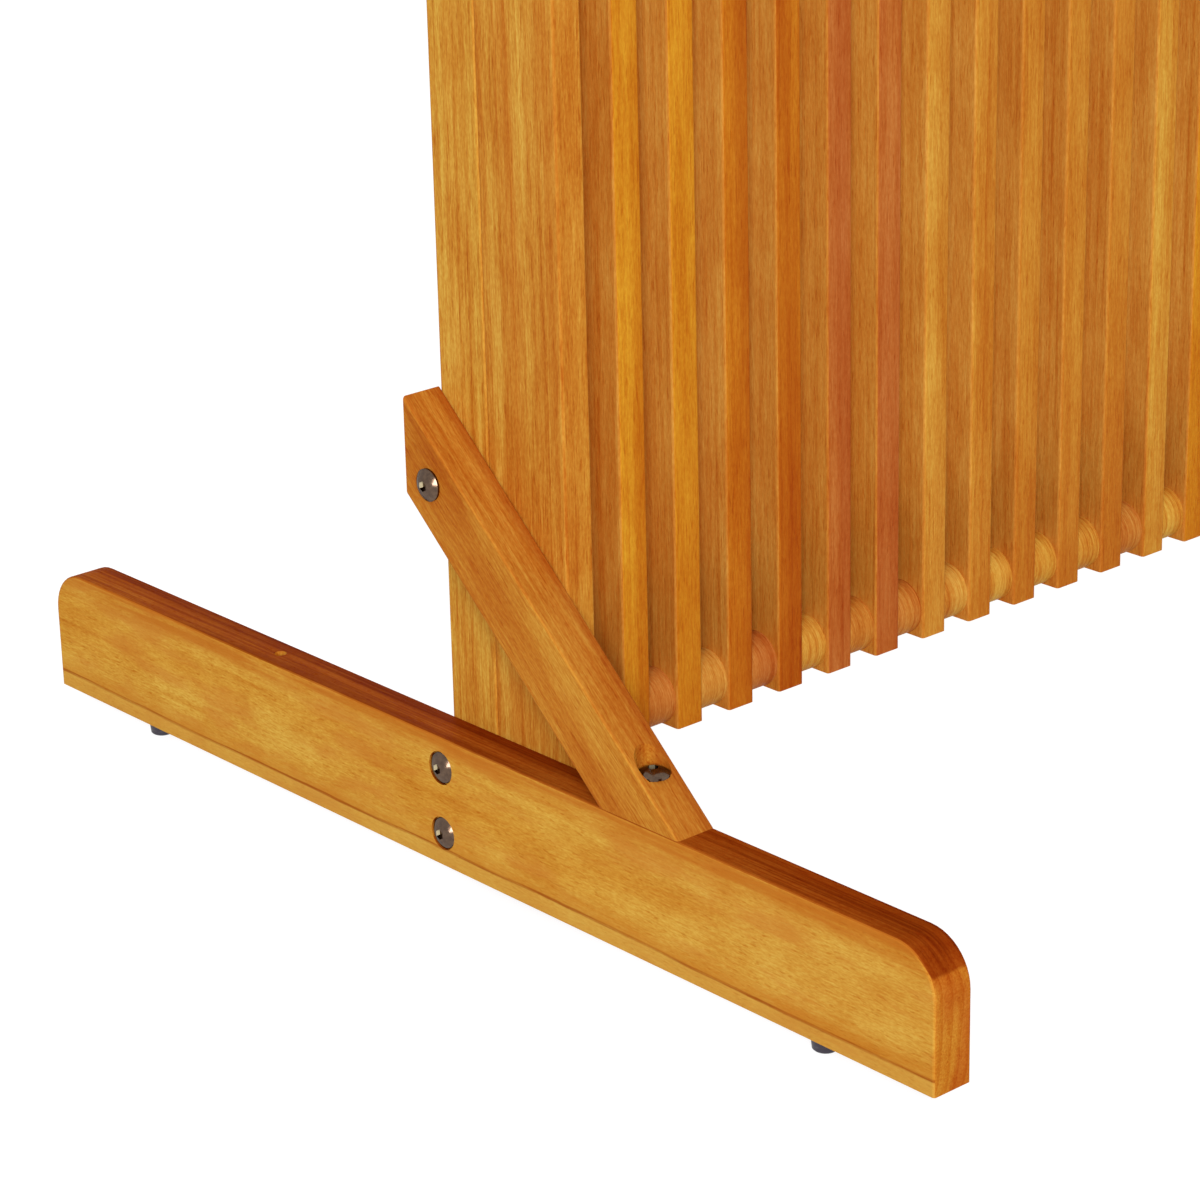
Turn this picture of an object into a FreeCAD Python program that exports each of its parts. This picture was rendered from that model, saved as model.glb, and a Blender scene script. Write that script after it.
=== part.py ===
import FreeCAD, Part
import os
import Sketcher

# Free-standing garden privacy screen in hardwood. All sizes are in millimetres.
# X runs across the screen, -Y is the front (the side the braces stand on), +Z is up.
# The origin lies on the floor, under the middle of the two foot beams.

# ---------------------------------------------------------------- driving dimensions

SIZES = [
    # the whole screen
    ("screen_height", 1800.0, "floor to the top of posts, end boards and slats"),
    ("slat_count", 23, "number of slats between the two end boards"),
    ("arris_radius", 1.5, "rounding of the long edges of the timber"),
    # foot beams
    ("foot_length", 700.0, "foot beam, front to back"),
    ("foot_height", 72.0, "foot beam, bottom to top"),
    ("foot_thickness", 24.0, "foot beam and brace, across"),
    ("foot_corner_radius", 25.0, "rounded top corners of the foot beam"),
    # posts, end boards, rails
    ("post_width", 36.0, "post, across the screen"),
    ("post_depth", 36.0, "post, front to back"),
    ("board_thickness", 17.5, "end board, across the screen"),
    ("rail_depth", 25.5, "rail, front to back"),
    ("rail_height", 60.0, "rail, bottom to top"),
    ("rail_inset", 20.0, "slat end to the nearest edge of the outer rails"),
    # slats, spacers and rods
    ("slat_thickness", 17.5, "slat, across the screen"),
    ("slat_depth", 32.5, "slat, front to back"),
    ("slat_lift", 80.0, "floor to the bottom ends of the slats"),
    ("spacer_thickness", 18.5, "spacer disc, and so the gap between slats"),
    ("spacer_diameter", 30.0, "spacer disc, across its round face"),
    ("rod_diameter", 8.0, "rod that the slats and spacers are threaded on"),
    ("rod_end_depth", 10.0, "depth of a rod end in its end board"),
    # braces
    ("brace_width", 38.5, "brace, across its sloped length"),
    ("brace_rise", 178.6, "foot top to the brace's top corner"),
    ("brace_reach", 180.0, "post centre to the brace's toe"),
    ("brace_bolt_setback", 30.0, "brace's toe to the upright bolt"),
    ("brace_bolt_seat", 22.0, "wood under the upright bolt's head"),
    # bolts and the nuts they screw into
    ("bolt_diameter", 6.0, "bolt shank"),
    ("bolt_head_diameter", 17.0, "domed bolt head"),
    ("bolt_head_height", 4.4, "domed bolt head, seat to crown"),
    ("bolt_rim_height", 1.2, "straight rim under the dome"),
    ("bolt_socket_width", 5.0, "hexagon socket, across flats"),
    ("bolt_socket_depth", 2.6, "hexagon socket"),
    ("bolt_engagement", 14.0, "length of shank inside an insert nut"),
    ("head_recess_depth", 1.8, "depth of the foot bolts' round recess"),
    ("foot_bolt_low", 18.0, "foot bottom to the lower foot bolt"),
    ("foot_bolt_spacing", 36.7, "lower to upper foot bolt"),
    ("insert_diameter", 10.0, "insert nut and barrel nut, outside"),
    ("insert_length", 16.0, "insert nut"),
    ("barrel_nut_drop", 30.0, "foot top to the barrel nut's axis"),
    ("barrel_nut_length", 16.0, "barrel nut"),
    # levelling glides
    ("glide_height", 9.5, "floor to the underside of the foot beam"),
    ("glide_top_diameter", 15.0, "glide pad under the foot"),
    ("glide_floor_diameter", 13.0, "glide pad near the floor"),
    ("glide_bevel", 0.8, "bevel round the pad's floor face"),
    ("glide_setback", 82.0, "end of the foot beam to a glide's axis"),
    ("glide_socket_height", 3.0, "floor to the bottom of the stem's socket"),
    ("stem_diameter", 6.0, "threaded stem of a glide"),
    ("stem_length", 28.0, "threaded stem of a glide"),
    # screws and dowels
    ("screw_diameter", 5.0, "rail screw shank"),
    ("screw_head_diameter", 9.5, "rail screw, countersunk head"),
    ("screw_head_height", 3.0, "rail screw, countersunk head"),
    ("screw_bite", 18.0, "depth of a rail screw in its rail"),
    ("screw_spacing", 30.0, "between the two screws of one rail end"),
    ("dowel_diameter", 8.0, "dowel between post and end board"),
    ("dowel_half_length", 15.0, "depth of a dowel in each of the two pieces"),
    ("dowel_count", 5, "dowels in each end board"),
    ("dowel_end_margin", 130.0, "end of the board to its outer dowels"),
    # clearances
    ("bolt_clearance", 0.35, "bolt shank to its hole, per side"),
    ("head_clearance", 0.6, "bolt head to its recess or pocket, per side"),
    ("rod_clearance", 0.2, "rod to the holes of slats and spacers, per side"),
    ("thread_clearance", 0.05, "shank or stem to a nut, per side"),
    ("seat_clearance", 0.1, "nut, dowel or screw to the wood around it, per side"),
    ("end_clearance", 2.0, "free depth past the tip of a bolt or stem"),
]

doc = FreeCAD.newDocument("GardenPrivacyScreen")
sheet = doc.addObject("Spreadsheet::Sheet", "Sizes")
for row, (alias, value, meaning) in enumerate(SIZES, start=1):
    sheet.set(f"A{row}", meaning)
    sheet.set(f"B{row}", str(value))
    sheet.setAlias(f"B{row}", alias)
doc.recompute()

SLAT_COUNT = int(sheet.get("slat_count"))
DOWEL_COUNT = int(sheet.get("dowel_count"))

# ---------------------------------------------------------------- shared expressions

# across the screen: each is a distance from the middle, used with the sign of a side
PITCH = "(Sizes.slat_thickness + Sizes.spacer_thickness)"
BOARD_INNER = f"(({PITCH} * Sizes.slat_count + Sizes.spacer_thickness) / 2)"
PANEL_HALF = f"({BOARD_INNER} + Sizes.board_thickness)"
OVERALL_HALF = f"({PANEL_HALF} + Sizes.foot_thickness)"
BOARD_MIDDLE = f"({PANEL_HALF} - Sizes.board_thickness / 2)"
FOOT_MIDDLE = f"({PANEL_HALF} + Sizes.foot_thickness / 2)"
POST_INNER = f"({PANEL_HALF} - Sizes.post_width)"
RAIL_LAP_MIDDLE = f"(({BOARD_INNER} + {POST_INNER}) / 2)"
INNER_WIDTH = f"({BOARD_INNER} * 2)"

# front to back: the layers from the post forward
POST_BACK = "(Sizes.post_depth / 2)"
POST_FRONT = "(-Sizes.post_depth / 2)"
RAIL_FRONT = f"({POST_FRONT} - Sizes.rail_depth)"
SLAT_FRONT = f"({RAIL_FRONT} - Sizes.slat_depth)"
SLAT_MIDDLE = f"({RAIL_FRONT} - Sizes.slat_depth / 2)"
BOARD_DEPTH = "(Sizes.rail_depth + Sizes.slat_depth)"

# upward
FOOT_BOTTOM = "Sizes.glide_height"
FOOT_TOP = "(Sizes.glide_height + Sizes.foot_height)"
SLAT_LENGTH = "(Sizes.screen_height - Sizes.slat_lift)"
POST_LENGTH = "(Sizes.screen_height - Sizes.glide_height)"
SLAT_MID_HEIGHT = "((Sizes.screen_height + Sizes.slat_lift) / 2)"
ROD_HEIGHTS = {
    "bottom": "(Sizes.slat_lift + Sizes.spacer_diameter / 2)",
    "middle": SLAT_MID_HEIGHT,
    "top": "(Sizes.screen_height - Sizes.spacer_diameter / 2)",
}
RAIL_HEIGHTS = {
    "bottom": "(Sizes.slat_lift + Sizes.rail_inset + Sizes.rail_height / 2)",
    "middle": SLAT_MID_HEIGHT,
    "top": "(Sizes.screen_height - Sizes.rail_inset - Sizes.rail_height / 2)",
}

# brace: its slope, and the bolt that crosses its centre line at the post
BRACE_RUN = f"(Sizes.brace_reach + {POST_BACK})"
BRACE_SLOPE_LENGTH = f"sqrt({BRACE_RUN} ^ 2 + Sizes.brace_rise ^ 2)"
BRACE_COSINE = f"({BRACE_RUN} / {BRACE_SLOPE_LENGTH})"
BRACE_SOLE = f"(Sizes.brace_width * {BRACE_SLOPE_LENGTH} / Sizes.brace_rise)"
BRACE_TOP_AT_POST = f"(Sizes.brace_rise * Sizes.brace_reach / {BRACE_RUN})"
BRACE_BOLT_HEIGHT = (
    f"({FOOT_TOP} + {BRACE_TOP_AT_POST} - Sizes.brace_width / 2 / {BRACE_COSINE})"
)
UPRIGHT_BOLT_FRONT = "(Sizes.brace_reach - Sizes.brace_bolt_setback)"
UPRIGHT_SEAT_HEIGHT = f"({FOOT_TOP} + Sizes.brace_bolt_seat)"

# bolts: holes and heights
FOOT_BOLT_HEIGHTS = [
    f"({FOOT_BOTTOM} + Sizes.foot_bolt_low)",
    f"({FOOT_BOTTOM} + Sizes.foot_bolt_low + Sizes.foot_bolt_spacing)",
]
BOLT_HOLE = "(Sizes.bolt_diameter + 2 * Sizes.bolt_clearance)"
HEAD_HOLE = "(Sizes.bolt_head_diameter + 2 * Sizes.head_clearance)"
BOLT_THREAD = "(Sizes.bolt_diameter + 2 * Sizes.thread_clearance)"
INSERT_HOLE = "(Sizes.insert_diameter + 2 * Sizes.seat_clearance)"
ROD_HOLE = "(Sizes.rod_diameter + 2 * Sizes.rod_clearance)"
DOWEL_HOLE = "(Sizes.dowel_diameter + 2 * Sizes.seat_clearance)"
SCREW_HOLE = "(Sizes.screw_diameter + 2 * Sizes.seat_clearance)"
STEM_THREAD = "(Sizes.stem_diameter + 2 * Sizes.thread_clearance)"
FOOT_BOLT_LENGTH = "(Sizes.foot_thickness - Sizes.head_recess_depth + Sizes.bolt_engagement)"
BRACE_BOLT_LENGTH = "(Sizes.foot_thickness + Sizes.bolt_engagement)"
INSERT_HOLE_DEPTH = "(max(Sizes.insert_length; Sizes.bolt_engagement) + Sizes.end_clearance)"
BARREL_NUT_HEIGHT = f"({FOOT_TOP} - Sizes.barrel_nut_drop)"
UPRIGHT_BOLT_LENGTH = (
    "(Sizes.brace_bolt_seat + Sizes.barrel_nut_drop + Sizes.insert_diameter / 2)"
)
UPRIGHT_HOLE_DEPTH = (
    "(Sizes.barrel_nut_drop + Sizes.insert_diameter / 2 + Sizes.end_clearance)"
)
SCREW_LENGTH = "(Sizes.post_depth + Sizes.screw_bite)"
SCREW_SINK = "(Sizes.screw_head_diameter + 2 * Sizes.seat_clearance)"
GLIDE_PLACE = "(Sizes.foot_length / 2 - Sizes.glide_setback)"
STEM_TOP = "(Sizes.glide_socket_height + Sizes.stem_length)"

SIDES = {"left": -1, "right": 1}
ENDS = {"front": -1, "rear": 1}

# ---------------------------------------------------------------- modelling helpers

TURNS = {
    "+x": FreeCAD.Rotation(FreeCAD.Vector(0, 1, 0), 90),
    "-x": FreeCAD.Rotation(FreeCAD.Vector(0, 1, 0), -90),
    "+y": FreeCAD.Rotation(FreeCAD.Vector(1, 0, 0), -90),
    "-y": FreeCAD.Rotation(FreeCAD.Vector(1, 0, 0), 90),
    "+z": FreeCAD.Rotation(),
    "-z": FreeCAD.Rotation(FreeCAD.Vector(1, 0, 0), 180),
}
OUTWARD = {"left": "-x", "right": "+x"}
INWARD = {"left": "+x", "right": "-x"}

parts = {}


def place(item, x, y, z, axis="+z", spin=0.0):
    """Puts an object's own Z along an axis and binds its position to expressions.

    Spin turns it about its own Z first, in degrees.
    """
    turn = TURNS[axis] * FreeCAD.Rotation(FreeCAD.Vector(0, 0, 1), spin)
    item.Placement = FreeCAD.Placement(FreeCAD.Vector(), turn)
    item.setExpression("Placement.Base.x", x)
    item.setExpression("Placement.Base.y", y)
    item.setExpression("Placement.Base.z", z)
    return item


def keep(name, item):
    """Names an object as a sub-part, which is written to a file of that name."""
    item.Label = name
    parts[name] = item
    return item


def cylinder(name, diameter, length, x, y, z, axis="+z"):
    item = doc.addObject("Part::Cylinder", name)
    item.setExpression("Radius", f"{diameter} / 2")
    item.setExpression("Height", length)
    return place(item, x, y, z, axis)


def cone(name, first_diameter, last_diameter, length, x, y, z, axis="+z"):
    item = doc.addObject("Part::Cone", name)
    item.setExpression("Radius1", f"{first_diameter} / 2")
    item.setExpression("Radius2", f"{last_diameter} / 2")
    item.setExpression("Height", length)
    return place(item, x, y, z, axis)


def fused(name, items):
    item = doc.addObject("Part::MultiFuse", name)
    item.Shapes = items
    return item


def group(name, items):
    item = doc.addObject("Part::Compound", name)
    item.Links = items
    return item


def cut(name, base, tools):
    """Takes one or more tool shapes away from a base."""
    item = doc.addObject("Part::Cut", name)
    item.Base = base
    item.Tool = tools[0] if len(tools) == 1 else group(f"{name}_tools", tools)
    return item


def tube(name, outer, bore, length, x, y, z, axis="+z"):
    outside = cylinder(f"{name}_outside", outer, length, x, y, z, axis)
    inside = cylinder(f"{name}_bore", bore, length, x, y, z, axis)
    return cut(name, outside, [inside])


def new_sketch(body, name, plane_role):
    """An empty sketch on one of the body's own origin planes."""
    plane = next(f for f in body.Origin.OriginFeatures if f.Role == plane_role)
    sketch = body.newObject("Sketcher::SketchObject", name)
    sketch.AttachmentSupport = [(plane, "")]
    sketch.MapMode = "FlatFace"
    return sketch


def bind(sketch, name, kind, first, second, expression):
    """A named distance from one sketch point to another, bound to an expression."""
    index = sketch.addConstraint(Sketcher.Constraint(kind, *first, *second, 1.0))
    sketch.renameConstraint(index, name)
    sketch.setExpression(f"Constraints.{name}", expression)


def start_of(line):
    """A line's first point, as a sketch's constraints name it."""
    return line, 1


def end_of(line):
    return line, 2


def centre_of(circle):
    return circle, 3


# a sketch's own X axis is its line -1 and starts at the origin
ORIGIN_POINT = start_of(-1)


def draw_polygon(sketch, corners):
    """A closed outline of straight lines through rough corners; returns line numbers."""
    points = [FreeCAD.Vector(x, y, 0) for x, y in corners]
    lines = []
    for start, end in zip(points, points[1:] + points[:1]):
        lines.append(sketch.addGeometry(Part.LineSegment(start, end), False))
    for line, following in zip(lines, lines[1:] + lines[:1]):
        joint = Sketcher.Constraint("Coincident", *end_of(line), *start_of(following))
        sketch.addConstraint(joint)
    return lines


def pad(body, name, sketch, length):
    feature = body.newObject("PartDesign::Pad", name)
    feature.Profile = sketch
    feature.setExpression("Length", length)
    sketch.Visibility = False
    doc.recompute()
    return feature


def rounded(body, name, base, radius, wanted):
    """Rounds the edges of a feature that a test picks."""
    names = [f"Edge{n}" for n, edge in enumerate(base.Shape.Edges, 1) if wanted(edge)]
    fillet = body.newObject("PartDesign::Fillet", name)
    fillet.Base = (base, names)
    fillet.setExpression("Radius", radius)
    doc.recompute()
    return fillet


def spans(edge, axis):
    """How far an edge reaches along x, y or z."""
    box = edge.BoundBox
    return {"x": box.XLength, "y": box.YLength, "z": box.ZLength}[axis]


TINY = 0.001


def is_upright(edge):
    return spans(edge, "x") < TINY and spans(edge, "y") < TINY


def is_lengthwise(edge):
    return spans(edge, "y") < TINY and spans(edge, "z") < TINY


def bar_blank(name, width, depth, height, x, y, z):
    """A squared bar padded up from a rectangle, with a corner at the given point."""
    body = doc.addObject("PartDesign::Body", name)
    sketch = new_sketch(body, f"{name}_section", "XY_Plane")
    corners = [(0, 0), (1, 0), (1, 1), (0, 1)]  # rough: the bound distances set the size
    bottom, right, top, left = draw_polygon(sketch, corners)
    corner = Sketcher.Constraint("Coincident", *start_of(bottom), *ORIGIN_POINT)
    sketch.addConstraint(corner)
    for line in (bottom, top):
        sketch.addConstraint(Sketcher.Constraint("Horizontal", line))
    for line in (right, left):
        sketch.addConstraint(Sketcher.Constraint("Vertical", line))
    bind(sketch, "width", "DistanceX", ORIGIN_POINT, end_of(bottom), width)
    bind(sketch, "depth", "DistanceY", ORIGIN_POINT, start_of(left), depth)
    feature = pad(body, f"{name}_pad", sketch, height)
    place(body, x, y, z)
    return body, feature


def eased_bar(name, width, depth, height, x, y, z, wanted=is_upright):
    """A bar with its long edges eased."""
    body, feature = bar_blank(name, width, depth, height, x, y, z)
    rounded(body, f"{name}_arrises", feature, "Sizes.arris_radius", wanted)
    return body


def mirrored(side, expression):
    """A distance from the screen's middle, on the named side."""
    return f"{SIDES[side]} * {expression}"


# ---------------------------------------------------------------- holes through the timber


def foot_bolt_holes(side, name):
    """Through holes with round recesses in the foot beam's outer face."""
    tools = []
    for number, height in enumerate(FOOT_BOLT_HEIGHTS, 1):
        outer = mirrored(side, OVERALL_HALF)
        tools.append(cylinder(f"{name}_hole_{number}", BOLT_HOLE, "Sizes.foot_thickness",
                              outer, "0", height, INWARD[side]))
        tools.append(cylinder(f"{name}_recess_{number}", HEAD_HOLE,
                              "Sizes.head_recess_depth", outer, "0", height, INWARD[side]))
    return [fused(f"{name}_bolt_holes", tools)]


def upright_bolt_holes(side, name):
    """A hole down from the foot's top at each end, crossed by a barrel nut's hole."""
    tools = []
    for end, sign in ENDS.items():
        y = f"{sign} * {UPRIGHT_BOLT_FRONT}"
        down = cylinder(f"{name}_{end}_down", BOLT_HOLE, UPRIGHT_HOLE_DEPTH,
                        mirrored(side, FOOT_MIDDLE), y, FOOT_TOP, "-z")
        across = cylinder(f"{name}_{end}_across", INSERT_HOLE,
                          "((Sizes.foot_thickness + Sizes.barrel_nut_length) / 2)",
                          mirrored(side, PANEL_HALF), y, BARREL_NUT_HEIGHT, OUTWARD[side])
        tools.append(fused(f"{name}_{end}_upright_hole", [down, across]))
    return tools


def glide_holes(side, name):
    """Holes up from the foot's underside for the glides' insert nuts and stems."""
    depth = f"({STEM_TOP} - Sizes.glide_height + Sizes.end_clearance)"
    return [
        cylinder(f"{name}_{end}_glide_hole", INSERT_HOLE, depth,
                 mirrored(side, FOOT_MIDDLE), f"{sign} * {GLIDE_PLACE}", FOOT_BOTTOM)
        for end, sign in ENDS.items()
    ]


def post_bolt_heights():
    return FOOT_BOLT_HEIGHTS + [BRACE_BOLT_HEIGHT]


def dowel_heights():
    """Evenly spaced heights between the two outer dowels."""
    low = "(Sizes.glide_height + Sizes.dowel_end_margin)"
    high = "(Sizes.screen_height - Sizes.dowel_end_margin)"
    steps = max(DOWEL_COUNT - 1, 1)
    return [f"({low} + ({high} - {low}) * {n} / {steps})" for n in range(DOWEL_COUNT)]


def screw_heights():
    """Two heights for each rail, either side of its middle."""
    heights = []
    for middle in RAIL_HEIGHTS.values():
        heights.append(f"({middle} - Sizes.screw_spacing / 2)")
        heights.append(f"({middle} + Sizes.screw_spacing / 2)")
    return heights


# ---------------------------------------------------------------- timber


def make_foot_beam(side):
    name = f"{side}_foot_beam"
    x = f"-{OVERALL_HALF}" if side == "left" else PANEL_HALF
    body, feature = bar_blank(f"{name}_blank", "Sizes.foot_thickness", "Sizes.foot_length",
                              "Sizes.foot_height", x, "-Sizes.foot_length / 2", FOOT_BOTTOM)
    top = float(sheet.get("foot_height"))

    def is_top_corner(edge):
        return is_lengthwise(edge) and abs(edge.BoundBox.ZMin - top) < TINY

    corners = rounded(body, f"{name}_corners", feature, "Sizes.foot_corner_radius",
                      is_top_corner)

    def is_outline(edge):
        return spans(edge, "x") < TINY and edge.BoundBox.ZMax > TINY

    rounded(body, f"{name}_arrises", corners, "Sizes.arris_radius", is_outline)
    tools = foot_bolt_holes(side, name) + upright_bolt_holes(side, name)
    keep(name, cut(name, body, tools + glide_holes(side, name)))


def make_brace(side):
    """A sloped bar cut level on the foot and upright in line with the post's back."""
    name = f"{side}_brace"
    body = doc.addObject("PartDesign::Body", f"{name}_blank")
    sketch = new_sketch(body, f"{name}_outline", "YZ_Plane")
    back_face = sheet.get("post_depth") / 2
    rise = sheet.get("brace_rise")
    reach = sheet.get("brace_reach")
    corners = [(back_face, rise), (-reach, 0), (-reach / 2, 0), (back_face, rise / 2)]  # rough
    top, sole, under, back = draw_polygon(sketch, corners)
    sketch.addConstraint(Sketcher.Constraint("Vertical", back))
    sketch.addConstraint(Sketcher.Constraint("PointOnObject", *start_of(sole), -1))
    sketch.addConstraint(Sketcher.Constraint("Horizontal", sole))
    sketch.addConstraint(Sketcher.Constraint("Parallel", top, under))
    bind(sketch, "back_face", "DistanceX", ORIGIN_POINT, start_of(top), POST_BACK)
    bind(sketch, "rise", "DistanceY", ORIGIN_POINT, start_of(top), "Sizes.brace_rise")
    bind(sketch, "reach", "DistanceX", start_of(sole), ORIGIN_POINT, "Sizes.brace_reach")
    bind(sketch, "sole", "DistanceX", start_of(sole), end_of(sole), BRACE_SOLE)
    feature = pad(body, f"{name}_pad", sketch, "Sizes.foot_thickness")

    def is_long_arris(edge):
        return spans(edge, "x") < TINY and spans(edge, "y") > TINY and spans(edge, "z") > TINY

    rounded(body, f"{name}_arrises", feature, "Sizes.arris_radius", is_long_arris)
    place(body, f"-{OVERALL_HALF}" if side == "left" else PANEL_HALF, "0", FOOT_TOP)
    across = cylinder(f"{name}_post_hole", BOLT_HOLE, "Sizes.foot_thickness",
                      mirrored(side, OVERALL_HALF), "0", BRACE_BOLT_HEIGHT, INWARD[side])
    down = cylinder(f"{name}_foot_hole", BOLT_HOLE, "Sizes.brace_bolt_seat",
                    mirrored(side, FOOT_MIDDLE), f"-{UPRIGHT_BOLT_FRONT}", FOOT_TOP)
    pocket = cylinder(f"{name}_pocket", HEAD_HOLE, "Sizes.brace_rise",
                      mirrored(side, FOOT_MIDDLE), f"-{UPRIGHT_BOLT_FRONT}",
                      UPRIGHT_SEAT_HEIGHT)
    keep(name, cut(name, body, [across, fused(f"{name}_upright_hole", [down, pocket])]))


def make_post(side):
    name = f"{side}_post"
    x = f"-{PANEL_HALF}" if side == "left" else POST_INNER
    body = eased_bar(f"{name}_blank", "Sizes.post_width", "Sizes.post_depth", POST_LENGTH,
                     x, POST_FRONT, FOOT_BOTTOM)
    tools = []
    for number, height in enumerate(post_bolt_heights(), 1):
        tools.append(cylinder(f"{name}_insert_hole_{number}", INSERT_HOLE, INSERT_HOLE_DEPTH,
                              mirrored(side, PANEL_HALF), "0", height, INWARD[side]))
    for number, height in enumerate(dowel_heights(), 1):
        tools.append(cylinder(f"{name}_dowel_hole_{number}", DOWEL_HOLE,
                              "Sizes.dowel_half_length", mirrored(side, BOARD_MIDDLE),
                              POST_FRONT, height, "+y"))
    for number, height in enumerate(screw_heights(), 1):
        x = mirrored(side, RAIL_LAP_MIDDLE)
        shank = cylinder(f"{name}_screw_hole_{number}", SCREW_HOLE, "Sizes.post_depth",
                         x, POST_BACK, height, "-y")
        head = cone(f"{name}_screw_sink_{number}", SCREW_SINK, SCREW_HOLE,
                    "Sizes.screw_head_height", x, POST_BACK, height, "-y")
        tools.append(fused(f"{name}_screw_way_{number}", [shank, head]))
    keep(name, cut(name, body, tools))


def make_end_board(side):
    """The board that closes the row of slats, in front of its post."""
    name = f"{side}_end_board"
    x = f"-{PANEL_HALF}" if side == "left" else BOARD_INNER
    body = eased_bar(f"{name}_blank", "Sizes.board_thickness", BOARD_DEPTH, POST_LENGTH,
                     x, SLAT_FRONT, FOOT_BOTTOM)
    tools = []
    for level, height in ROD_HEIGHTS.items():
        tools.append(cylinder(f"{name}_rod_hole_{level}", ROD_HOLE, "Sizes.rod_end_depth",
                              mirrored(side, BOARD_INNER), SLAT_MIDDLE, height,
                              OUTWARD[side]))
    for number, height in enumerate(dowel_heights(), 1):
        tools.append(cylinder(f"{name}_dowel_hole_{number}", DOWEL_HOLE,
                              "Sizes.dowel_half_length", mirrored(side, BOARD_MIDDLE),
                              POST_FRONT, height, "-y"))
    keep(name, cut(name, body, tools))


def make_slat(number):
    name = f"slat_{number:02d}"
    x = f"-{BOARD_INNER} + Sizes.spacer_thickness + {number - 1} * {PITCH}"
    body = eased_bar(f"{name}_blank", "Sizes.slat_thickness", "Sizes.slat_depth",
                     SLAT_LENGTH, x, SLAT_FRONT, "Sizes.slat_lift")
    tools = [
        cylinder(f"{name}_rod_hole_{level}", ROD_HOLE, "Sizes.slat_thickness",
                 x, SLAT_MIDDLE, height, "+x")
        for level, height in ROD_HEIGHTS.items()
    ]
    keep(name, cut(name, body, tools))


def make_rail(level):
    """A rail behind the slats: it butts on the end boards and laps the posts' fronts."""
    name = f"{level}_rail"
    middle = RAIL_HEIGHTS[level]
    body = eased_bar(f"{name}_blank", INNER_WIDTH, "Sizes.rail_depth", "Sizes.rail_height",
                     f"-{BOARD_INNER}", RAIL_FRONT, f"{middle} - Sizes.rail_height / 2",
                     is_lengthwise)
    tools = []
    for side in SIDES:
        for place_name, sign in (("low", -1), ("high", 1)):
            tools.append(cylinder(f"{name}_{side}_{place_name}_hole", SCREW_HOLE,
                                  "Sizes.screw_bite", mirrored(side, RAIL_LAP_MIDDLE),
                                  POST_FRONT, f"{middle} + {sign} * Sizes.screw_spacing / 2",
                                  "-y"))
    keep(name, cut(name, body, tools))


def make_spacers(level):
    """One row of round discs, one in each gap between slats and end boards."""
    name = f"{level}_spacers"
    body = doc.addObject("PartDesign::Body", name)
    body.AllowCompound = True
    sketch = new_sketch(body, f"{name}_ring", "YZ_Plane")
    rough_radius = sheet.get("spacer_diameter") / 2
    for ring_name, diameter in (("rim", "Sizes.spacer_diameter"), ("bore", ROD_HOLE)):
        circle = Part.Circle(FreeCAD.Vector(), FreeCAD.Vector(0, 0, 1), rough_radius)
        ring = sketch.addGeometry(circle, False)
        centred = Sketcher.Constraint("Coincident", *centre_of(ring), *ORIGIN_POINT)
        sketch.addConstraint(centred)
        index = sketch.addConstraint(
            Sketcher.Constraint("Diameter", ring, 2 * rough_radius))
        sketch.renameConstraint(index, ring_name)
        sketch.setExpression(f"Constraints.{ring_name}", diameter)
    disc = pad(body, f"{name}_disc", sketch, "Sizes.spacer_thickness")
    row = body.newObject("PartDesign::LinearPattern", f"{name}_row")
    row.Originals = [disc]
    row.Direction = (next(f for f in body.Origin.OriginFeatures if f.Role == "X_Axis"), [""])
    row.setExpression("Length", f"{PITCH} * Sizes.slat_count")
    row.setExpression("Occurrences", "Sizes.slat_count + 1")
    body.Tip = row
    place(body, f"-{BOARD_INNER}", SLAT_MIDDLE, ROD_HEIGHTS[level])
    keep(name, body)


# ---------------------------------------------------------------- metal and plastic


def make_rod(level):
    """A plain rod that ends in blind holes in the two end boards."""
    name = f"{level}_rod"
    keep(name, cylinder(name, "Sizes.rod_diameter",
                        f"({INNER_WIDTH} + 2 * Sizes.rod_end_depth)",
                        f"-{BOARD_INNER} - Sizes.rod_end_depth", SLAT_MIDDLE,
                        ROD_HEIGHTS[level], "+x"))


def domed_bolt(name, length, x, y, z, axis, socket_turn=0.0):
    """A bolt whose seat is at the given point, with its domed head along the axis.

    Its socket is turned about the bolt by an angle in degrees.
    """
    head_height = "Sizes.bolt_head_height"
    dome_height = f"({head_height} - Sizes.bolt_rim_height)"
    dome_radius = f"(((Sizes.bolt_head_diameter / 2) ^ 2 + {dome_height} ^ 2) / 2 / {dome_height})"
    shank = cylinder(f"{name}_shank", "Sizes.bolt_diameter", length, "0", "0", f"-{length}")
    drum = cylinder(f"{name}_drum", "Sizes.bolt_head_diameter", head_height, "0", "0", "0")
    ball = doc.addObject("Part::Sphere", f"{name}_ball")
    ball.setExpression("Radius", dome_radius)
    place(ball, "0", "0", f"{head_height} - {dome_radius}")
    head = doc.addObject("Part::Common", f"{name}_head")
    head.Base = drum
    head.Tool = ball
    socket = doc.addObject("Part::Prism", f"{name}_socket")
    socket.Polygon = 6
    socket.setExpression("Circumradius", "Sizes.bolt_socket_width / sqrt(3)")
    socket.setExpression("Height", "Sizes.bolt_socket_depth")
    place(socket, "0", "0", f"{head_height} - Sizes.bolt_socket_depth", spin=socket_turn)
    bolt = cut(name, fused(f"{name}_solid", [shank, head]), [socket])
    return place(bolt, x, y, z, axis)


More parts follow.
